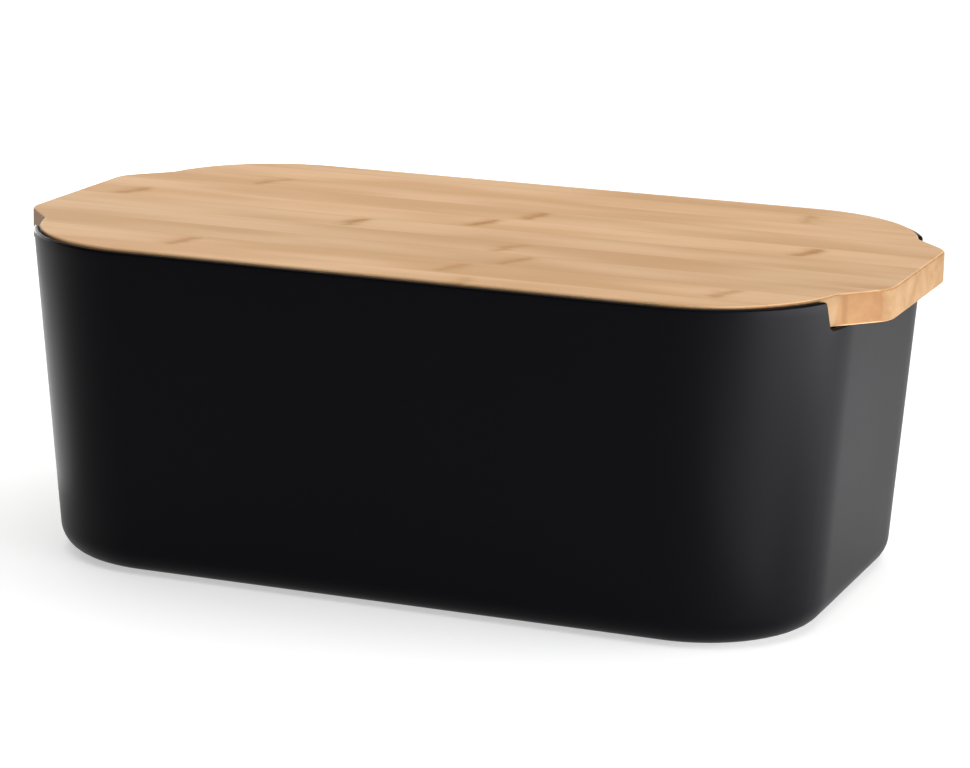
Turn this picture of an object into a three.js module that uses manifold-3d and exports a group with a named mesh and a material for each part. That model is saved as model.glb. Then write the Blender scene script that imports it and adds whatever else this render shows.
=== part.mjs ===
// Bread bin: a moulded plastic bin with tapering walls, and a lid board glued up from bamboo strips.
// The board drops inside the rim, and its two end tabs rest in notches in the rim and stick out as grips.
// Millimetres, +Z up. The origin is on the table under the middle of the bin, +X runs along it, -Y is its front.

import * as THREE from 'three';
import { mergeVertices } from 'three/addons/utils/BufferGeometryUtils.js';
import Module from 'manifold-3d';

// ---- Driving dimensions of the bin ----
const RIM = { length: 360, width: 221, cornerRadius: 63 }; // outer outline at the top of the rim
const BASE = { length: 340.5, width: 196.5, cornerRadius: 53.5 }; // the same outline carried down to the table
const BIN_HEIGHT = 141;
const WALL = 2.2;
const FLOOR = 3.2;
const BOTTOM_EDGE_RADIUS = 12.5;
const RIM_EDGE_RADIUS = 1;
const FOOT_RING_WIDTH = 10; // flat ring that the bin stands on
const FOOT_RING_HEIGHT = 0.8; // how far the ring stands below the middle of the base
const FOOT_RING_SLOPE = 2; // width of the step between them

// ---- Driving dimensions of the lid board ----
const LID_THICKNESS = 13.2;
const LID_ABOVE_RIM = 1.2;
const LID_TO_WALL_GAP = 0.4; // all the way down, because the board's edge slopes with the wall
const LID_LENGTH = 385.8; // over both tabs
const LID_TOP_EDGE_RADIUS = 1;
const LID_BOTTOM_EDGE_RADIUS = 1;
const SEAT_GAP = 0.1; // between the tabs and the notch floors
const STRIP_WIDTH = 23.2;
const TAB_END_WIDTH = 73; // straight part of a tab's end
const TAB_CORNER_RADIUS = 15.4;
const TAB_SIDE_ANGLE = THREE.MathUtils.degToRad(48); // between a tab's side and the board's length
const TAB_ROOT_RADIUS = 8; // hollow curve where a tab's side runs into the board's corner

// ---- Driving dimensions of the rim notches ----
const NOTCH_WIDTH = 144.6; // between the sloping sides, at the height of the rim
const NOTCH_SIDE_SLOPE = THREE.MathUtils.degToRad(20); // of the sides, from upright; the notch narrows downward
const NOTCH_TOP_RADIUS = 2;
const NOTCH_BOTTOM_RADIUS = 2.5;

// ---- Fineness of the curves ----
const CORNER_STEPS = 14; // chords in a quarter turn of an outline
const EDGE_STEPS = 5; // chords in a quarter turn of a rounded edge
const RIM_EDGE_STEPS = 2;
const LID_EDGE_STEPS = 2;
const LOOSE = 5; // how far a cutter runs past what it cuts
const SAME_POINT = 1e-4; // points closer than this are one

const wasm = await Module();
wasm.setup();

// ---------------------------------------------------------------- solids

function toSolid(geometry) {
  const bare = geometry.clone();
  bare.deleteAttribute('normal');
  bare.deleteAttribute('uv');
  const merged = mergeVertices(bare, SAME_POINT);
  return new wasm.Manifold(new wasm.Mesh({
    numProp: 3,
    vertProperties: Float32Array.from(merged.attributes.position.array),
    triVerts: Uint32Array.from(merged.index.array),
  }));
}

function toGeometry(solid) {
  const mesh = solid.getMesh();
  const geometry = new THREE.BufferGeometry();
  geometry.setAttribute('position', new THREE.BufferAttribute(mesh.vertProperties, 3));
  geometry.setIndex(new THREE.BufferAttribute(mesh.triVerts, 1));
  geometry.computeVertexNormals();
  return geometry;
}

// Closed surface through a list of rings with equally many points each, shut at both ends by flat fans.
function loft(rings) {
  const count = rings[0].length;
  const middle = (ring) => new THREE.Vector3(0, 0, ring[0].z);
  const points = [...rings.flat(), middle(rings[0]), middle(rings.at(-1))];
  const firstMiddle = points.length - 2;
  const lastMiddle = points.length - 1;
  const triangles = [];
  for (let i = 0; i < count; i++) {
    const j = (i + 1) % count;
    triangles.push(firstMiddle, j, i);
    for (let k = 0; k + 1 < rings.length; k++) {
      const low = k * count;
      const high = low + count;
      triangles.push(low + i, low + j, high + j, low + i, high + j, high + i);
    }
    const top = (rings.length - 1) * count;
    triangles.push(lastMiddle, top + i, top + j);
  }
  const geometry = new THREE.BufferGeometry().setFromPoints(points);
  geometry.setIndex(triangles);
  return geometry;
}

// ---------------------------------------------------------------- bin

// The bin's outer envelope at height z: the middle of its corner on the +X, +Y side, and the corner's radius.
function envelope(z) {
  const share = z / BIN_HEIGHT;
  const at = (size) => BASE[size] + (RIM[size] - BASE[size]) * share;
  const radius = at('cornerRadius');
  return { radius, corner: new THREE.Vector2(at('length') / 2 - radius, at('width') / 2 - radius) };
}

// Ring at height z on the envelope that is taken at envelopeZ, moved inward by inset.
function binRing(z, inset, envelopeZ = z) {
  const outer = envelope(envelopeZ);
  const radius = outer.radius - inset;
  const ring = [];
  for (let quarter = 0; quarter < 4; quarter++) {
    const sideX = quarter === 0 || quarter === 3 ? 1 : -1;
    const sideY = quarter < 2 ? 1 : -1;
    for (let step = 0; step <= CORNER_STEPS; step++) {
      const turn = (quarter + step / CORNER_STEPS) * Math.PI / 2;
      ring.push(new THREE.Vector3(
        sideX * outer.corner.x + radius * Math.cos(turn),
        sideY * outer.corner.y + radius * Math.sin(turn),
        z,
      ));
    }
  }
  return ring;
}

// Rings round a quarter-round edge: ringAt gives the ring at each turn from 0 to a quarter turn.
function roundEdge(steps, ringAt) {
  const rings = [];
  for (let step = 0; step <= steps; step++) {
    rings.push(ringAt(step / steps * Math.PI / 2));
  }
  return rings;
}

function binShell() {
  const ringInset = BOTTOM_EDGE_RADIUS + FOOT_RING_WIDTH;
  const innerRadius = BOTTOM_EDGE_RADIUS - WALL;
  const innerEdgeZ = FLOOR + innerRadius;
  const underside = [
    binRing(FOOT_RING_HEIGHT, ringInset + FOOT_RING_SLOPE, BOTTOM_EDGE_RADIUS),
    binRing(0, ringInset, BOTTOM_EDGE_RADIUS),
  ];
  const bottomEdge = roundEdge(EDGE_STEPS, (turn) => binRing(
    BOTTOM_EDGE_RADIUS * (1 - Math.cos(turn)),
    BOTTOM_EDGE_RADIUS * (1 - Math.sin(turn)),
    BOTTOM_EDGE_RADIUS,
  ));
  const rimOuterEdge = roundEdge(RIM_EDGE_STEPS, (turn) => binRing(
    BIN_HEIGHT - RIM_EDGE_RADIUS * (1 - Math.sin(turn)),
    RIM_EDGE_RADIUS * (1 - Math.cos(turn)),
  ));
  const rimInnerEdge = roundEdge(RIM_EDGE_STEPS, (turn) => binRing(
    BIN_HEIGHT - RIM_EDGE_RADIUS * (1 - Math.cos(turn)),
    WALL - RIM_EDGE_RADIUS * (1 - Math.sin(turn)),
  ));
  const insideEdge = roundEdge(EDGE_STEPS, (turn) => binRing(
    innerEdgeZ - innerRadius * Math.sin(turn),
    WALL + innerRadius * (1 - Math.cos(turn)),
    innerEdgeZ,
  ));
  return toSolid(loft([...underside, ...bottomEdge, ...rimOuterEdge, ...rimInnerEdge, ...insideEdge]));
}

const LID_TOP = BIN_HEIGHT + LID_ABOVE_RIM;
const LID_UNDERSIDE = LID_TOP - LID_THICKNESS;
const NOTCH_FLOOR = LID_UNDERSIDE - SEAT_GAP;

// Bar along X that cuts both end notches: flat floor, hollow corners, sloping sides, rounded-over rim corners.
function notchCutter() {
  const slope = NOTCH_SIDE_SLOPE;
  const sideAt = (z) => NOTCH_WIDTH / 2 - (BIN_HEIGHT - z) * Math.tan(slope);
  const low = NOTCH_BOTTOM_RADIUS;
  const high = NOTCH_TOP_RADIUS;
  const lowY = sideAt(NOTCH_FLOOR + low * (1 - Math.sin(slope))) - low * Math.cos(slope);
  const highY = sideAt(BIN_HEIGHT - high * (1 - Math.sin(slope))) + high * Math.cos(slope);
  const above = BIN_HEIGHT + LOOSE;
  const shape = new THREE.Shape();
  shape.moveTo(-lowY, NOTCH_FLOOR);
  shape.absarc(lowY, NOTCH_FLOOR + low, low, -Math.PI / 2, -slope, false);
  shape.absarc(highY, BIN_HEIGHT - high, high, Math.PI - slope, Math.PI / 2, true);
  shape.lineTo(highY, above);
  shape.lineTo(-highY, above);
  shape.absarc(-highY, BIN_HEIGHT - high, high, Math.PI / 2, slope, true);
  shape.absarc(-lowY, NOTCH_FLOOR + low, low, Math.PI + slope, 1.5 * Math.PI, false);
  const depth = RIM.length + 2 * LOOSE;
  const bar = new THREE.ExtrudeGeometry(shape, { depth, bevelEnabled: false, curveSegments: EDGE_STEPS });
  bar.translate(0, 0, -depth / 2);
  bar.rotateX(Math.PI / 2);
  bar.rotateZ(Math.PI / 2);
  return toSolid(bar);
}

// ---------------------------------------------------------------- lid board

// A quarter of the board's outline at height z, inset by a distance, from the middle of the tab's end round to
// the middle of the long side. The corners and long sides slope with the bin's wall up to the rim, and the tabs
// are upright.
function lidQuarter(z, inset) {
  const { corner, radius: wallRadius } = envelope(Math.min(z, BIN_HEIGHT));
  const cornerRadius = wallRadius - WALL - LID_TO_WALL_GAP;
  const tab = new THREE.Vector2(LID_LENGTH / 2 - TAB_CORNER_RADIUS, TAB_END_WIDTH / 2);
  const sideTurn = Math.PI / 2 - TAB_SIDE_ANGLE; // the way that the tab's side faces
  const facing = new THREE.Vector2(Math.cos(sideTurn), Math.sin(sideTurn));

  // The root curve lies outside the tab's side and the board's corner, and touches both.
  const sideOffset = facing.dot(tab) - facing.dot(corner) + TAB_CORNER_RADIUS + TAB_ROOT_RADIUS;
  const reach = cornerRadius + TAB_ROOT_RADIUS;
  const rootTurn = sideTurn - Math.acos(sideOffset / reach);
  const root = new THREE.Vector2(Math.cos(rootTurn), Math.sin(rootTurn)).multiplyScalar(reach).add(corner);

  const points = [new THREE.Vector2(LID_LENGTH / 2 - inset, 0)];
  const arc = (middle, radius, from, to, steps) => {
    for (let step = 0; step <= steps; step++) {
      const turn = from + (to - from) * step / steps;
      points.push(new THREE.Vector2(Math.cos(turn), Math.sin(turn)).multiplyScalar(radius).add(middle));
    }
  };
  arc(tab, TAB_CORNER_RADIUS - inset, 0, sideTurn, EDGE_STEPS);
  arc(root, TAB_ROOT_RADIUS + inset, sideTurn + Math.PI, rootTurn + Math.PI, EDGE_STEPS);
  arc(corner, cornerRadius - inset, rootTurn, Math.PI / 2, CORNER_STEPS);
  points.push(new THREE.Vector2(0, corner.y + cornerRadius - inset));
  return points;
}

function lidRing(z, inset) {
  const quarter = lidQuarter(z, inset);
  const mirrored = quarter.toReversed();
  const place = (sideX, sideY) => (point) => new THREE.Vector3(sideX * point.x, sideY * point.y, z);
  return [
    ...quarter.slice(0, -1).map(place(1, 1)),
    ...mirrored.slice(0, -1).map(place(-1, 1)),
    ...quarter.slice(0, -1).map(place(-1, -1)),
    ...mirrored.slice(0, -1).map(place(1, -1)),
  ];
}

function lidBoard() {
  const lowerEdge = roundEdge(LID_EDGE_STEPS, (turn) => lidRing(
    LID_UNDERSIDE + LID_BOTTOM_EDGE_RADIUS * (1 - Math.cos(turn)),
    LID_BOTTOM_EDGE_RADIUS * (1 - Math.sin(turn)),
  ));
  const upperEdge = roundEdge(LID_EDGE_STEPS, (turn) => lidRing(
    LID_TOP - LID_TOP_EDGE_RADIUS * (1 - Math.sin(turn)),
    LID_TOP_EDGE_RADIUS * (1 - Math.cos(turn)),
  ));
  return toSolid(loft([...lowerEdge, ...upperEdge]));
}

// The board's strips, from the front to the back. They run along X, and the middle glue line is on the X axis.
function lidStrips() {
  const board = lidBoard();
  const halfWidth = RIM.width / 2 - WALL - LID_TO_WALL_GAP;
  const stripsPerSide = Math.ceil(halfWidth / STRIP_WIDTH);
  const strips = [];
  for (let place = -stripsPerSide; place < stripsPerSide; place++) {
    const slab = new THREE.BoxGeometry(LID_LENGTH + 2 * LOOSE, STRIP_WIDTH, LID_THICKNESS + 2 * LOOSE);
    slab.translate(0, (place + 0.5) * STRIP_WIDTH, (LID_TOP + LID_UNDERSIDE) / 2);
    strips.push(board.intersect(toSolid(slab)));
  }
  return strips;
}

// ---------------------------------------------------------------- assembly

const blackPlastic = new THREE.MeshStandardMaterial({ color: 0x17181b, roughness: 0.38, metalness: 0 });

function bambooMaterial(number) {
  const lightness = 0.66 + 0.03 * Math.cos(2.4 * number); // neighbouring strips differ a little in tone
  const color = new THREE.Color().setHSL(0.082, 0.52, lightness);
  return new THREE.MeshStandardMaterial({ color, roughness: 0.55, metalness: 0 });
}

function namedMesh(name, solid, material) {
  const mesh = new THREE.Mesh(toGeometry(solid), material);
  mesh.name = name;
  return mesh;
}

const breadBin = new THREE.Group();
breadBin.add(namedMesh('bin_body', binShell().subtract(notchCutter()), blackPlastic));

const lid = new THREE.Group();
lidStrips().forEach((solid, index) => {
  const number = index + 1;
  lid.add(namedMesh(`lid_strip_${String(number).padStart(2, '0')}`, solid, bambooMaterial(number)));
});
breadBin.add(lid);

export default breadBin;
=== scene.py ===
"""Looks of the bread bin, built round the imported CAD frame: a satin black bin and a bamboo lid board."""

import math

import bmesh
import bpy
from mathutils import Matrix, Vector


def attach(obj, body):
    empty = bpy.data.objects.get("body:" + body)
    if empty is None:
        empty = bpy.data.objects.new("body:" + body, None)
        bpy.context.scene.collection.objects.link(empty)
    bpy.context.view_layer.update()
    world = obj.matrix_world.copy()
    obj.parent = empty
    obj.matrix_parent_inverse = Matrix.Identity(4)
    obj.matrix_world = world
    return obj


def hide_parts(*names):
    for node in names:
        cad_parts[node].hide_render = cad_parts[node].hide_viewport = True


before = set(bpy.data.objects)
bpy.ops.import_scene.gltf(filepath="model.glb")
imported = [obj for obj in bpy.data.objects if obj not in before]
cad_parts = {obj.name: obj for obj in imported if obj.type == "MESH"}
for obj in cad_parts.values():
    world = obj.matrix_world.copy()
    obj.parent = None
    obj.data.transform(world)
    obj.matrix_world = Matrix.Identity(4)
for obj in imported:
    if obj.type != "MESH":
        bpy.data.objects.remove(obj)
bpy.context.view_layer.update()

MM = 0.001

# ---- Bin, in millimetres, as in the CAD source ----
RIM_LENGTH, RIM_WIDTH, RIM_CORNER = 360, 221, 63
BASE_LENGTH, BASE_WIDTH, BASE_CORNER = 340.5, 196.5, 53.5
BIN_HEIGHT = 141
WALL = 2.2
FLOOR = 3.2
BOTTOM_EDGE = 12.5
RIM_EDGE = 1
FOOT_RING_WIDTH = 10
FOOT_RING_HEIGHT = 0.8
FOOT_RING_SLOPE = 2

# ---- Lid board ----
LID_THICKNESS = 13.2
LID_ABOVE_RIM = 1.2
LID_TO_WALL_GAP = 0.4
LID_LENGTH = 385.8
LID_TOP_EDGE = 1
LID_BOTTOM_EDGE = 1
SEAT_GAP = 0.1
STRIP_WIDTH = 23.2
TAB_END_WIDTH = 73
TAB_CORNER = 15.4
TAB_SIDE_ANGLE = math.radians(48)
TAB_ROOT = 8
LID_TOP = BIN_HEIGHT + LID_ABOVE_RIM
LID_UNDERSIDE = LID_TOP - LID_THICKNESS

# ---- Rim notches ----
NOTCH_HALF = 72.3  # at the height of the rim
NOTCH_SLOPE = math.radians(20)  # of the notch's sides, from upright
NOTCH_TOP_CORNER = 2
NOTCH_BOTTOM_CORNER = 2.5
NOTCH_FLOOR = LID_UNDERSIDE - SEAT_GAP

# ---- Fineness ----
CORNER_STEP = math.radians(2.5)
FINE_STEPS = 6  # chords in a small rounded edge
BOTTOM_STEPS = 10
TAB_STEPS = 16
ROOT_STEPS = 10
LID_CORNER_STEPS = 26
FLOOR_COLUMNS = 16  # across half a notch's floor
SIDE_COLUMNS = 8  # along half a long side's straight part
WALL_RINGS = 8  # up the wall, below RIM_ZONE
SUPPORT = 0.4  # width of the flat strip beside a rounded edge, which keeps the large face flat in shading
RIM_ZONE = 116  # below this height the notch no longer shapes the wall's mesh
RIM_RISES = (0.3, 0.6, 0.85)  # the rings between there and the rim, as shares of the way up
FOOT_RING_SHARES = (0, 0.15, 0.5, 0.85, 1)  # the rings down the foot ring's inner slope
FOOT_SPREAD = 6.5  # low down, the columns of a notch's side take up this much more than at the rim
FOOT_BLEND_END = math.radians(60)  # from this turn on, the corner's columns stand straight up
SMOOTH_LIMIT = math.radians(40)  # sharper edges of a lid strip are drawn sharp
SAME_POINT = 1e-7  # metres

# ---- Where the camera stands, in radians and metres, and its lens in millimetres ----
CAMERA_AZIMUTH = math.radians(21.37)
CAMERA_ELEVATION = math.radians(13.67)
CAMERA_ROLL = math.radians(1.02)
CAMERA_DISTANCE = 1.5252
CAMERA_TARGET = Vector((0.00355, 0, 0.0741))
CAMERA_LENS = 131.68
SENSOR_WIDTH = 36

# ---- Floor and light ----
WHITE = (1, 1, 1, 1)
FLOOR_HALF = 6
FLOOR_COLOR = (0.66, 0.66, 0.66, 1)
FLOOR_ROUGHNESS = 0.9
FLOOR_GLOW = 0.48
WORLD_BRIGHTNESS = 0.05

# Each rectangular light: its name, its place, the point that it faces, its size in metres, its brightness.
# The strips and the backdrops are what the walls mirror. The cards lie on the floor and face up.
SOFTBOXES = [
    ("overhead", (0, 0.1, 1.6), (0, 0.1, 0), (2, 2), 2.3),
    ("right_strip", (0.6, -0.1, 0.085), (0.1, -0.1, 0.085), (0.7, 0.16), 18.5),
    ("corner_card", (0.33, -0.19, 0.002), (0.33, -0.19, 1), (0.26, 0.2), 3),
    ("left_strip", (-0.75, 0.8, 0.075), (-0.1, 0.1, 0.075), (0.7, 0.14), 14),
    ("left_card", (-0.38, 0.12, 0.002), (-0.38, 0.12, 1), (0.3, 0.4), 1.5),
    ("backdrop", (-1, 2.2, 0.5), (-0.3, 0, 0.1), (2.6, 1), 1.7),
    ("backdrop_left", (-2, 1.3, 0.4), (0, 0, 0.07), (2.2, 0.8), 5),
]


# ------------------------------------------------------------------ camera, floor and light

def make_camera():
    """The photo's view: from the front and the right, and a little above, with a slight roll."""
    azimuth, elevation, roll = CAMERA_AZIMUTH, CAMERA_ELEVATION, CAMERA_ROLL
    back = Vector((
        math.sin(azimuth) * math.cos(elevation),
        -math.cos(azimuth) * math.cos(elevation),
        math.sin(elevation),
    ))
    level_right = Vector((math.cos(azimuth), math.sin(azimuth), 0))
    level_up = back.cross(level_right)
    right = level_right * math.cos(roll) + level_up * math.sin(roll)
    up = level_up * math.cos(roll) - level_right * math.sin(roll)
    data = bpy.data.cameras.new("camera")
    data.sensor_width = SENSOR_WIDTH
    data.lens = CAMERA_LENS
    camera = bpy.data.objects.new("camera", data)
    bpy.context.scene.collection.objects.link(camera)
    place = camera.matrix_world.copy()
    for row in range(3):
        place[row][0], place[row][1], place[row][2] = right[row], up[row], back[row]
        place[row][3] = CAMERA_TARGET[row] + back[row] * CAMERA_DISTANCE
    camera.matrix_world = place
    bpy.context.scene.camera = camera


def make_floor():
    """A pale matt floor, slightly self-lit, so that it stays near white beside the bin."""
    half = FLOOR_HALF
    corners = [(-half, -half, 0), (half, -half, 0), (half, half, 0), (-half, half, 0)]
    mesh = bpy.data.meshes.new("floor")
    mesh.from_pydata(corners, [], [(0, 1, 2, 3)])
    floor = bpy.data.objects.new("floor", mesh)
    bpy.context.scene.collection.objects.link(floor)
    material = bpy.data.materials.new("floor")
    material.use_nodes = True
    shader = material.node_tree.nodes["Principled BSDF"]
    shader.inputs["Base Color"].default_value = FLOOR_COLOR
    shader.inputs["Roughness"].default_value = FLOOR_ROUGHNESS
    shader.inputs["Specular IOR Level"].default_value = 0
    shader.inputs["Emission Color"].default_value = WHITE
    shader.inputs["Emission Strength"].default_value = FLOOR_GLOW
    mesh.materials.append(material)


def softbox(name, place, target, size, brightness):
    """A rectangular light whose face has the given brightness, the same as a world of that strength."""
    data = bpy.data.lights.new(name, "AREA")
    data.shape = "RECTANGLE"
    data.size, data.size_y = size
    data.energy = brightness * math.pi * size[0] * size[1]
    light = bpy.data.objects.new(name, data)
    light.location = place
    light.rotation_euler = (Vector(target) - Vector(place)).to_track_quat("-Z", "Y").to_euler()
    bpy.context.scene.collection.objects.link(light)


def make_light():
    scene = bpy.context.scene
    scene.view_settings.view_transform = "Standard"
    world = bpy.data.worlds.new("studio")
    world.use_nodes = True
    background = world.node_tree.nodes["Background"]
    background.inputs["Color"].default_value = WHITE
    background.inputs["Strength"].default_value = WORLD_BRIGHTNESS
    scene.world = world
    for name, place, target, size, brightness in SOFTBOXES:
        softbox(name, place, target, size, brightness)


# ------------------------------------------------------------------ meshes

def skin(name, rings, material):
    """A closed mesh through rings of equally many points, in millimetres, shut at both ends by one face."""
    count = len(rings[0])
    points = [Vector(point) * MM for ring in rings for point in ring]
    faces = [list(range(count - 1, -1, -1))]
    for k in range(len(rings) - 1):
        low, high = k * count, (k + 1) * count
        for i in range(count):
            j = (i + 1) % count
            faces.append((low + i, low + j, high + j, high + i))
    top = (len(rings) - 1) * count
    faces.append(list(range(top, top + count)))
    mesh = bpy.data.meshes.new(name)
    mesh.from_pydata(points, [], faces)
    mesh.update()
    for face in mesh.polygons:
        face.use_smooth = True
    return placed(name, mesh, material)


def placed(name, mesh, material):
    """The mesh as an object in the scene, with its material."""
    mesh.materials.append(material)
    piece = bpy.data.objects.new(name, mesh)
    bpy.context.scene.collection.objects.link(piece)
    return piece


def turns(steps):
    """The turns of a quarter-round edge, from 0 to a right angle."""
    return [step / steps * math.pi / 2 for step in range(steps + 1)]


def all_round(quarter):
    """The whole outline from one quarter's points, which run from the end's middle to the side's middle."""
    back = quarter[::-1]

    def turned(points, x_side, y_side):
        return [(x_side * x, y_side * y, z) for x, y, z in points[:-1]]

    return turned(quarter, 1, 1) + turned(back, -1, 1) + turned(quarter, -1, -1) + turned(back, 1, -1)


# ---- Bin ----

def mix(low, high, share):
    return low + (high - low) * share


def envelope(z):
    """Corner centre (x, y) and corner radius of the bin's outer outline at height z."""
    share = z / BIN_HEIGHT
    radius = mix(BASE_CORNER, RIM_CORNER, share)
    half_length = mix(BASE_LENGTH, RIM_LENGTH, share) / 2
    half_width = mix(BASE_WIDTH, RIM_WIDTH, share) / 2
    return half_length - radius, half_width - radius, radius


class Column:
    """One column of the bin wall's mesh. Low down it stands at a fixed place on the outline: a share of the
    end's straight half, a turn round the corner, or a share of the side's straight half. At the rim it ends
    at a point of the rim's path, given across the end as a distance y or round the corner as a turn."""

    def __init__(self, zone, place, rim_y=None, rim_turn=None, rim_z=BIN_HEIGHT, out=(0, 1)):
        self.zone = zone
        self.place = place
        self.rim_y = rim_y
        self.rim_turn = rim_turn
        self.rim_z = rim_z
        self.out = out  # the way out of the rim's edge, across and up

    def low(self, z, depth, envelope_z=None):
        """The point at height z, depth inside the envelope that is taken at envelope_z."""
        corner_x, corner_y, radius = envelope(z if envelope_z is None else envelope_z)
        radius -= depth
        if self.zone == "end":
            return corner_x + radius, corner_y * self.place, z
        if self.zone == "side":
            return corner_x * (1 - self.place), corner_y + radius, z
        return corner_x + radius * math.cos(self.place), corner_y + radius * math.sin(self.place), z

    def rim(self, inset, depth, rise=1.0):
        """The point inset inside the rim's path, or part of the way up to it from RIM_ZONE."""
        height = mix(RIM_ZONE, self.rim_z - self.out[1] * inset, rise)
        if self.zone == "side":
            return self.low(height, depth)
        corner_x, corner_y, radius = envelope(height)
        radius -= depth
        if self.rim_y is None:
            turn = mix(self.place, self.rim_turn, rise)
            return corner_x + radius * math.cos(turn), corner_y + radius * math.sin(turn), height
        foot_y = self.low(RIM_ZONE, depth)[1]
        y = mix(foot_y, self.rim_y - self.out[0] * inset, rise)
        if y <= corner_y:
            return corner_x + radius, y, height
        return corner_x + math.sqrt(radius ** 2 - (y - corner_y) ** 2), y, height


def notch_side(z):
    """How far the notch's sloping side is from the middle of the end at height z."""
    return NOTCH_HALF - (BIN_HEIGHT - z) * math.tan(NOTCH_SLOPE)


def notch_path():
    """The rim's path (y, z, way out) from the middle of the notch floor to where the rim is level again."""
    slope = NOTCH_SLOPE
    low_z = NOTCH_FLOOR + NOTCH_BOTTOM_CORNER * (1 - math.sin(slope))
    low_y = notch_side(low_z) - NOTCH_BOTTOM_CORNER * math.cos(slope)
    high_z = BIN_HEIGHT - NOTCH_TOP_CORNER * (1 - math.sin(slope))
    high_y = notch_side(high_z) + NOTCH_TOP_CORNER * math.cos(slope)
    path = [(low_y * step / FLOOR_COLUMNS, NOTCH_FLOOR, (0, 1)) for step in range(FLOOR_COLUMNS)]
    for step in range(FINE_STEPS + 1):
        turn = mix(0, math.pi / 2 - slope, step / FINE_STEPS)
        out = (-math.sin(turn), math.cos(turn))
        middle_z = NOTCH_FLOOR + NOTCH_BOTTOM_CORNER
        path.append((low_y - out[0] * NOTCH_BOTTOM_CORNER, middle_z - out[1] * NOTCH_BOTTOM_CORNER, out))
    side_out = (-math.cos(slope), math.sin(slope))
    for share in (1 / 3, 2 / 3):
        z = mix(low_z, high_z, share)
        path.append((notch_side(z), z, side_out))
    for step in range(FINE_STEPS + 1):
        turn = mix(slope, math.pi / 2, step / FINE_STEPS)
        out = (-math.cos(turn), math.sin(turn))
        middle_z = BIN_HEIGHT - NOTCH_TOP_CORNER
        path.append((high_y + out[0] * NOTCH_TOP_CORNER, middle_z + out[1] * NOTCH_TOP_CORNER, out))
    return path


def wall_columns():
    """The columns of a quarter of the wall, from the middle of the end to the middle of the side."""
    path = notch_path()
    _, corner_y, radius = envelope(RIM_ZONE)
    first_level_turn = math.asin((path[-1][0] - envelope(BIN_HEIGHT)[1]) / RIM_CORNER)
    columns = []
    straight, curved = path[:FLOOR_COLUMNS + 1], path[FLOOR_COLUMNS + 1:]
    start = straight[-1][0]
    end = path[-1][0] + FOOT_SPREAD
    for y, z, out in straight:
        columns.append(Column(*column_foot(y, corner_y, radius), rim_y=y, rim_z=z, out=out))
    for index, (y, z, out) in enumerate(curved):
        foot = mix(start, end, (index + 1) / len(curved))
        columns.append(Column(*column_foot(foot, corner_y, radius), rim_y=y, rim_z=z, out=out))
    foot_turn = columns[-1].place
    steps = round((math.pi / 2 - first_level_turn) / CORNER_STEP)
    for step in range(1, steps + 1):
        turn = mix(first_level_turn, math.pi / 2, step / steps)
        foot = turn
        if turn < FOOT_BLEND_END:
            share = (turn - first_level_turn) / (FOOT_BLEND_END - first_level_turn)
            foot = mix(foot_turn, FOOT_BLEND_END, share)
        columns.append(Column("corner", foot, rim_turn=turn))
    for step in range(1, SIDE_COLUMNS + 1):
        columns.append(Column("side", step / SIDE_COLUMNS))
    return columns


def column_foot(y, corner_y, radius):
    """The zone and the place of the column that stands y from the middle of the end."""
    if y <= corner_y:
        return "end", y / corner_y
    return "corner", math.asin((y - corner_y) / radius)


def bin_rings():
    """The rings of the bin's skin: under the base, up the outer wall, over the rim and down the inside."""
    columns = wall_columns()
    inner_radius = BOTTOM_EDGE - WALL
    inner_edge_z = FLOOR + inner_radius
    rings = []

    def low_ring(z, depth, envelope_z=None):
        rings.append(all_round([column.low(z, depth, envelope_z) for column in columns]))

    def rim_ring(inset, depth, rise=1.0):
        rings.append(all_round([column.rim(inset, depth, rise) for column in columns]))

    ring_inner = BOTTOM_EDGE + FOOT_RING_WIDTH
    low_ring(FOOT_RING_HEIGHT, ring_inner + FOOT_RING_SLOPE + SUPPORT, BOTTOM_EDGE)
    for share in FOOT_RING_SHARES:
        height = FOOT_RING_HEIGHT * (1 + math.cos(share * math.pi)) / 2
        low_ring(height, ring_inner + FOOT_RING_SLOPE * (1 - share), BOTTOM_EDGE)
    low_ring(0, BOTTOM_EDGE + SUPPORT, BOTTOM_EDGE)
    for turn in turns(BOTTOM_STEPS):
        low_ring(BOTTOM_EDGE * (1 - math.cos(turn)), BOTTOM_EDGE * (1 - math.sin(turn)), BOTTOM_EDGE)
    for step in range(1, WALL_RINGS + 1):
        low_ring(mix(BOTTOM_EDGE, RIM_ZONE, step / WALL_RINGS), 0)
    for rise in RIM_RISES:
        rim_ring(RIM_EDGE, 0, rise)
    for turn in turns(FINE_STEPS):
        rim_ring(RIM_EDGE * (1 - math.sin(turn)), RIM_EDGE * (1 - math.cos(turn)))
    for turn in turns(FINE_STEPS):
        rim_ring(RIM_EDGE * (1 - math.cos(turn)), WALL - RIM_EDGE * (1 - math.sin(turn)))
    for rise in reversed(RIM_RISES):
        rim_ring(RIM_EDGE, WALL, rise)
    for step in range(WALL_RINGS):
        low_ring(mix(RIM_ZONE, inner_edge_z, step / WALL_RINGS), WALL)
    for turn in turns(BOTTOM_STEPS):
        height = inner_edge_z - inner_radius * math.sin(turn)
        low_ring(height, WALL + inner_radius * (1 - math.cos(turn)), inner_edge_z)
    low_ring(FLOOR, WALL + inner_radius + SUPPORT, inner_edge_z)
    return rings


# ---- Lid ----

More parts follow.
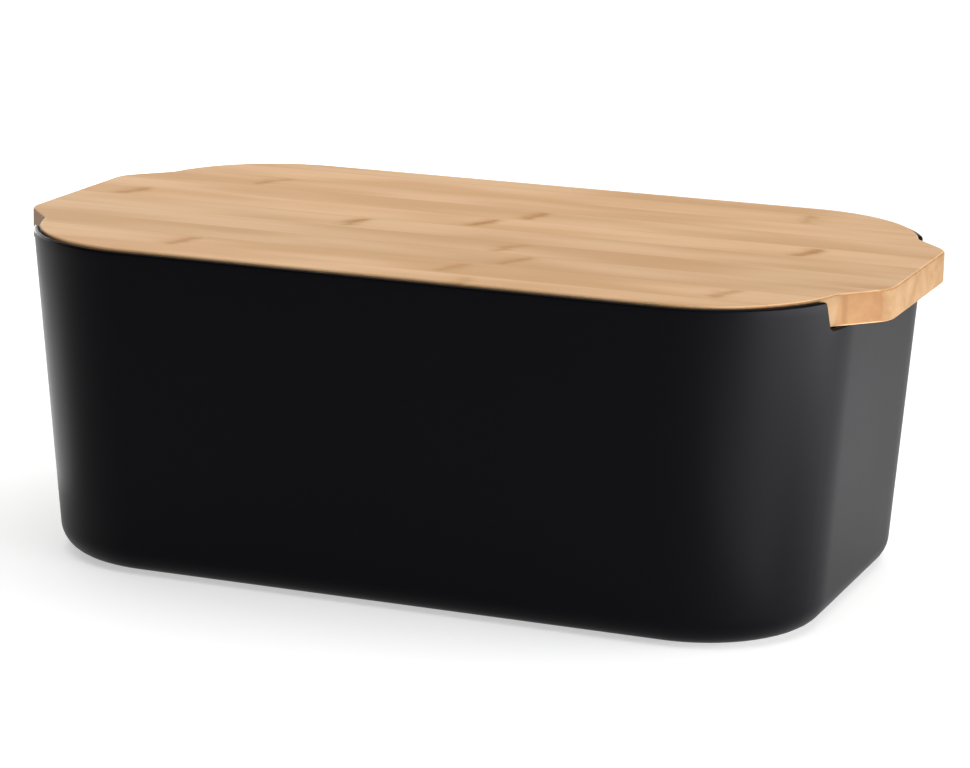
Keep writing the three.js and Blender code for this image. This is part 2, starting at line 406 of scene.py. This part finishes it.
def lid_quarter(inset, z):
    """A quarter of the board's outline at height z. Up to the rim, all but the tabs slopes with the wall."""
    corner_x, corner_y, wall_radius = envelope(min(z, BIN_HEIGHT))
    corner_radius = wall_radius - WALL - LID_TO_WALL_GAP
    corner = Vector((corner_x, corner_y))
    tab = Vector((LID_LENGTH / 2 - TAB_CORNER, TAB_END_WIDTH / 2))
    side_turn = math.pi / 2 - TAB_SIDE_ANGLE
    facing = Vector((math.cos(side_turn), math.sin(side_turn)))
    side_offset = facing.dot(tab - corner) + TAB_CORNER + TAB_ROOT
    reach = corner_radius + TAB_ROOT
    root_turn = side_turn - math.acos(side_offset / reach)
    root = corner + reach * Vector((math.cos(root_turn), math.sin(root_turn)))
    points = [(LID_LENGTH / 2 - inset, 0, z)]

    def arc(middle, radius, start, end, steps):
        for step in range(steps + 1):
            turn = mix(start, end, step / steps)
            points.append((middle.x + radius * math.cos(turn), middle.y + radius * math.sin(turn), z))

    arc(tab, TAB_CORNER - inset, 0, side_turn, TAB_STEPS)
    arc(root, TAB_ROOT + inset, side_turn + math.pi, root_turn + math.pi, ROOT_STEPS)
    arc(corner, corner_radius - inset, root_turn, math.pi / 2, LID_CORNER_STEPS)
    points.append((0, corner.y + corner_radius - inset, z))
    return points


def lid_rings():
    """The rings of the board's skin, from its underside to its top."""
    rings = []

    def ring(z, inset):
        rings.append(all_round(lid_quarter(inset, z)))

    ring(LID_UNDERSIDE, LID_BOTTOM_EDGE + SUPPORT)
    for turn in turns(FINE_STEPS):
        height = LID_UNDERSIDE + LID_BOTTOM_EDGE * (1 - math.cos(turn))
        ring(height, LID_BOTTOM_EDGE * (1 - math.sin(turn)))
    for turn in turns(FINE_STEPS):
        ring(LID_TOP - LID_TOP_EDGE * (1 - math.sin(turn)), LID_TOP_EDGE * (1 - math.cos(turn)))
    ring(LID_TOP, LID_TOP_EDGE + SUPPORT)
    return rings


def cut_strip(board, name, front, back, material):
    """The part of the board between two glue lines, as a closed mesh of its own."""
    work = bmesh.new()
    work.from_mesh(board.data)
    for y, way in ((front, -1), (back, 1)):
        everything = work.verts[:] + work.edges[:] + work.faces[:]
        cut = bmesh.ops.bisect_plane(
            work, geom=everything, dist=SAME_POINT, clear_outer=True,
            plane_co=(0, y * MM, 0), plane_no=(0, way, 0),
        )
        edges = [part for part in cut["geom_cut"] if isinstance(part, bmesh.types.BMEdge)]
        if edges:
            bmesh.ops.edgeloop_fill(work, edges=edges)
    for face in work.faces:
        face.smooth = True
    for edge in work.edges:
        edge.smooth = len(edge.link_faces) == 2 and edge.calc_face_angle() < SMOOTH_LIMIT
    mesh = bpy.data.meshes.new(name)
    work.to_mesh(mesh)
    work.free()
    return placed(name, mesh, material)


# ------------------------------------------------------------------ materials

# The colour sockets of a mix node, whose names its other kinds share.
MIX_FIRST_COLOR, MIX_SECOND_COLOR, MIX_RESULT_COLOR = 6, 7, 2


class Shader:
    """A small helper that adds nodes to a material and links them."""

    def __init__(self, name):
        self.material = bpy.data.materials.new(name)
        self.material.use_nodes = True
        self.tree = self.material.node_tree
        self.surface = self.tree.nodes["Principled BSDF"]

    def node(self, kind, inputs=None, **settings):
        node = self.tree.nodes.new(kind)
        for key, value in settings.items():
            setattr(node, key, value)
        for key, value in (inputs or {}).items():
            self.plug(value, node.inputs[key])
        return node

    def plug(self, value, socket):
        if isinstance(value, bpy.types.NodeSocket):
            self.tree.links.new(value, socket)
        else:
            socket.default_value = value

    def math(self, operation, *values):
        return self.node("ShaderNodeMath", dict(enumerate(values)), operation=operation).outputs[0]

    def mix(self, factor, first, second):
        node = self.node("ShaderNodeMix", data_type="RGBA")
        self.plug(factor, node.inputs["Factor"])
        self.plug(first, node.inputs[MIX_FIRST_COLOR])
        self.plug(second, node.inputs[MIX_SECOND_COLOR])
        return node.outputs[MIX_RESULT_COLOR]

    def ramp(self, value, low, high):
        """value mapped from low..high to 0..1, with soft ends. Where low is above high it falls."""
        node = self.node("ShaderNodeMapRange", {"Value": value, "From Min": low, "From Max": high})
        node.interpolation_type = "SMOOTHSTEP"
        return node.outputs["Result"]

    def noise(self, place, scale, detail, stretch=(1, 1, 1), shift=(0, 0, 0), roughness=0.5):
        mapping = self.node("ShaderNodeMapping", {"Vector": place, "Location": shift, "Scale": stretch})
        noise = self.node("ShaderNodeTexNoise", {
            "Vector": mapping.outputs[0],
            "Scale": scale,
            "Detail": detail,
            "Roughness": roughness,
        })
        return noise.outputs[0]

    def bump(self, height, distance, strength, normal=None):
        node = self.node("ShaderNodeBump", {"Height": height, "Distance": distance, "Strength": strength})
        if normal is not None:
            self.plug(normal, node.inputs["Normal"])
        return node.outputs[0]


PLASTIC_COLORS = (0.0012, 0.0012, 0.0019, 1), (0.0018, 0.0018, 0.0026, 1)
PLASTIC_SPECULAR = 0.058
PLASTIC_TINT = (0.93, 0.93, 1, 1)
PLASTIC_ROUGHNESS = 0.35  # at the least
CLOUD_ROUGHNESS = 0.05  # and this much more where a cloud is thickest
GRAIN_ROUGHNESS = 0.04
GRAIN_HEIGHT, GRAIN_STRENGTH = 0.00002, 0.25
FLOW_HEIGHT, FLOW_STRENGTH = 0.0001, 0.12


def black_plastic():
    """Satin black: uneven by very little in colour, in roughness and in level."""
    shader = Shader("black_plastic")
    place = shader.node("ShaderNodeTexCoord").outputs["Object"]
    cloud = shader.noise(place, 14, detail=4)
    grain = shader.noise(place, 2600, detail=2)
    flow = shader.noise(place, 60, stretch=(1, 1, 0.25), detail=3)
    shader.plug(shader.mix(cloud, *PLASTIC_COLORS), shader.surface.inputs["Base Color"])
    roughness = shader.math("MULTIPLY_ADD", cloud, CLOUD_ROUGHNESS, PLASTIC_ROUGHNESS)
    roughness = shader.math("MULTIPLY_ADD", grain, GRAIN_ROUGHNESS, roughness)
    shader.plug(roughness, shader.surface.inputs["Roughness"])
    shader.plug(PLASTIC_SPECULAR, shader.surface.inputs["Specular IOR Level"])
    shader.plug(PLASTIC_TINT, shader.surface.inputs["Specular Tint"])
    normal = shader.bump(grain, GRAIN_HEIGHT, GRAIN_STRENGTH)
    normal = shader.bump(flow, FLOW_HEIGHT, FLOW_STRENGTH, normal)
    shader.plug(normal, shader.surface.inputs["Normal"])
    return shader.material


# ---- Bamboo: colours, and sizes in metres ----
PALE = (0.742, 0.480, 0.275)
WARM = (0.628, 0.372, 0.188)
DEEP = (0.530, 0.286, 0.126)
STREAK_SHARE = 0.17
FIBRE_SHARE = 0.04
SMUDGE_COLOR = (0.52, 0.278, 0.106, 1)
CORE_COLOR = (0.38, 0.168, 0.046, 1)
KNOT_SHARE = 0.6
KNOT_DEPTH = -0.3
KNOT_WAVE = 0.008  # how far its line across the strip wanders
KNOT_RAGGED = 0.9  # how ragged its outline is
KNOT_TAIL = 0.011  # how far a knot's smudge runs along the fibres on its long side
KNOT_HEAD = 0.0065  # and on its short side
KNOT_FADE_START = 0.006  # from a strip's middle, a knot is whole up to here and gone at the glue line
GLUE_COLOR = (0.22, 0.11, 0.04, 1)
GLUE_SHARE = 0.22
GLUE_OUTER, GLUE_INNER = 0.00005, 0.00035  # from the strip's side
# Colours of the cut ends: partly the end grain's own colour, partly painted shade; the slanting sides get a
# painted shaded copy and the end a painted lit copy.
SIDE_CUT_GRAIN_AND_SHADE_COLORS = (0.192, 0.073, 0.019, 1), (0.150, 0.053, 0.012, 1)
END_CUT_GRAIN_AND_SHADE_COLORS = (0.202, 0.128, 0.068, 1), (0.159, 0.090, 0.040, 1)
CUT_GRAIN_AND_SHADE_SHARE = 0.95
DARK_LINE_COLOR = (0.12, 0.05, 0.016, 1)
DARK_LINE_SHARE = 0.6
DARK_LINE_OUTER, DARK_LINE_INNER = 0.0016, 0.0002  # from the dark line's middle
BAMBOO_SPECULAR = 0.06
BAMBOO_ROUGHNESS = 0.56  # at the least
FIBRE_ROUGHNESS = 0.12
FIBRE_LEVEL = 0.5
WOOD_HEIGHT, WOOD_STRENGTH = 0.00012, 0.2


def tinted(color, tone):
    return tuple(value * tone for value in color) + (1,)


class Bamboo(Shader):
    """One strip's bamboo, with its fibres along X."""

    def __init__(self, number, middle_y):
        super().__init__(f"bamboo_{number:02d}")
        coordinates = self.node("ShaderNodeTexCoord")
        self.place = coordinates.outputs["Object"]
        self.normal = coordinates.outputs["Normal"]
        self.shift = (0.731 * number, 0.17 * number, 0.39 * number)
        parts = self.node("ShaderNodeSeparateXYZ", {0: self.place})
        self.x, self.y = parts.outputs[0], parts.outputs[1]
        self.across = self.math("SUBTRACT", self.y, middle_y * MM)
        self.from_middle = self.math("ABSOLUTE", self.across)

    def strip_noise(self, stretch, **settings):
        return self.noise(self.place, 1, stretch=stretch, shift=self.shift, **settings)

    def blend(self, amount, share, color, other):
        return self.mix(self.math("MULTIPLY", amount, share), color, other)

    def grain(self, tone, fibres):
        """Broad bands of pale and warm, with darker streaks and fibres."""
        streaks = self.strip_noise((12, 170, 170), detail=2)
        broad = self.strip_noise((10, 40, 40), detail=1)
        deep = tinted(DEEP, tone)
        color = self.mix(self.ramp(broad, 0.33, 0.67), tinted(PALE, tone), tinted(WARM, tone))
        color = self.blend(self.ramp(streaks, 0.42, 0.78), STREAK_SHARE, color, deep)
        return self.blend(self.ramp(fibres, 0.42, 0.78), FIBRE_SHARE, color, deep)

    def knots(self, knots, color):
        """Adds a brown smudge across the strip at each knot, and gives the colour and the surface's level."""
        blotch = self.strip_noise((130, 170, 170), detail=3)
        wave = self.strip_noise((0, 150, 150), detail=2)
        middle = self.ramp(self.from_middle, STRIP_WIDTH / 2 * MM, KNOT_FADE_START)
        level = 0.5
        for knot_x, strength, lean, tail in knots:
            off = self.math("MULTIPLY_ADD", wave, KNOT_WAVE, -KNOT_WAVE / 2 - knot_x * MM)
            off = self.math("MULTIPLY_ADD", self.across, lean, off)
            off = self.math("ADD", off, self.x)
            tail_share = self.math("DIVIDE", off, tail * KNOT_TAIL)
            head_share = self.math("DIVIDE", off, -tail * KNOT_HEAD)
            spread = self.math("MAXIMUM", tail_share, head_share)
            spread = self.math("SUBTRACT", spread, KNOT_RAGGED / 2)
            spread = self.math("MULTIPLY_ADD", blotch, KNOT_RAGGED, spread)
            smudge = self.math("MULTIPLY", self.ramp(spread, 1, 0.05), middle)
            core = self.math("MULTIPLY", self.ramp(spread, 0.45, -0.1), middle)
            color = self.blend(smudge, KNOT_SHARE * strength, color, SMUDGE_COLOR)
            color = self.blend(core, KNOT_SHARE * strength, color, CORE_COLOR)
            level = self.math("MULTIPLY_ADD", core, KNOT_DEPTH * strength, level)
        return color, level

    def glue(self, color):
        """A thin dark line at both of the strip's glued sides."""
        side = STRIP_WIDTH / 2 * MM
        line = self.ramp(self.from_middle, side - GLUE_INNER, side - GLUE_OUTER)
        return self.blend(line, GLUE_SHARE, color, GLUE_COLOR)

    def cut_ends_grain_and_shade(self, color, dark_line_y):
        """Darker where the surface faces along X, partly the end grain's own colour and partly painted shade:
        one colour on the tab's slanting sides and a lighter one on its end, a painted shaded and a painted
        lit copy picked by which way the surface faces.
        """
        facing_x = self.math("ABSOLUTE", self.node("ShaderNodeSeparateXYZ", {0: self.normal}).outputs[0])
        pores = self.ramp(self.strip_noise((75, 75, 95), detail=5, roughness=0.62), 0.34, 0.68)
        side_grain_and_shade = self.mix(pores, *SIDE_CUT_GRAIN_AND_SHADE_COLORS)
        end_grain_and_shade = self.mix(pores, *END_CUT_GRAIN_AND_SHADE_COLORS)
        # painted shade and light: the cut faces' colour is picked by which way they face
        cut_grain_and_shade = self.mix(self.ramp(facing_x, 0.6, 0.9), side_grain_and_shade, end_grain_and_shade)
        # A thin dark line down the cut ends, at one y across the board.
        if dark_line_y is not None:
            from_dark_line = self.math("ABSOLUTE", self.math("SUBTRACT", self.y, dark_line_y * MM))
            dark_line = self.ramp(from_dark_line, DARK_LINE_OUTER, DARK_LINE_INNER)
            cut_grain_and_shade = self.blend(dark_line, DARK_LINE_SHARE, cut_grain_and_shade, DARK_LINE_COLOR)
        return self.blend(self.ramp(facing_x, 0.35, 0.8), CUT_GRAIN_AND_SHADE_SHARE, color, cut_grain_and_shade)


def bamboo(number, tone, knots, middle_y, dark_line_y=None):
    """The material of one strip, whose middle is at middle_y, and where a y is given, a thin dark line down
    its cut ends there.
    """
    shader = Bamboo(number, middle_y)
    fibres = shader.strip_noise((30, 1300, 1300), detail=3, roughness=0.6)
    color, level = shader.knots(knots, shader.grain(tone, fibres))
    color = shader.cut_ends_grain_and_shade(shader.glue(color), dark_line_y)
    shader.plug(color, shader.surface.inputs["Base Color"])
    roughness = shader.math("MULTIPLY_ADD", fibres, FIBRE_ROUGHNESS, BAMBOO_ROUGHNESS)
    shader.plug(roughness, shader.surface.inputs["Roughness"])
    shader.plug(BAMBOO_SPECULAR, shader.surface.inputs["Specular IOR Level"])
    level = shader.math("MULTIPLY_ADD", fibres, FIBRE_LEVEL, level)
    shader.plug(shader.bump(level, WOOD_HEIGHT, WOOD_STRENGTH), shader.surface.inputs["Normal"])
    return shader.material


# Each strip, from the front to the back: its tone, and its knots as (x in millimetres, strength, lean,
# and the way that the smudge trails off along the fibres).
STRIPS = [
    (1.02, [(34, 0.35, 0.1, -1)]),
    (1.01, [(-100, 0.7, -0.3, -1), (20, 0.5, -0.3, 1), (136, 0.6, -0.3, -1)]),
    (0.96, [(39, 0.8, -0.3, -1)]),
    (0.96, [(27, 0.6, -0.4, -1)]),
    (0.98, [(-52, 1.0, -0.2, -1)]),
    (1.03, [(-170, 1.0, -0.3, -1), (-3, 1.1, -0.3, -1), (142, 1.0, -0.2, -1)]),
    (1.00, [(13, 0.8, -0.3, -1)]),
    (1.01, [(-124, 0.7, -0.4, -1)]),
    (1.02, [(120, 0.5, 0.1, 1)]),
    (0.99, []),
]
DARK_LINE_STRIP, DARK_LINE_Y = 3, -59  # one strip has a thin dark line down its cut ends


# ------------------------------------------------------------------ the object

def make_bin():
    body = skin("bin_shell", bin_rings(), black_plastic())
    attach(body, "bin")
    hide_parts("bin_body")


def make_lid():
    blank = bpy.data.materials.new("blank")
    board = skin("board", lid_rings(), blank)
    for index, (tone, knots) in enumerate(STRIPS):
        number = index + 1
        front = (index - len(STRIPS) / 2) * STRIP_WIDTH
        dark_line_y = DARK_LINE_Y if number == DARK_LINE_STRIP else None
        material = bamboo(number, tone, knots, front + STRIP_WIDTH / 2, dark_line_y)
        strip = cut_strip(board, f"bamboo_strip_{number:02d}", front, front + STRIP_WIDTH, material)
        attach(strip, "lid")
        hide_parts(f"lid_strip_{number:02d}")
    bpy.data.objects.remove(board)
    bpy.data.materials.remove(blank)


make_camera()
make_floor()
make_light()
make_bin()
make_lid()
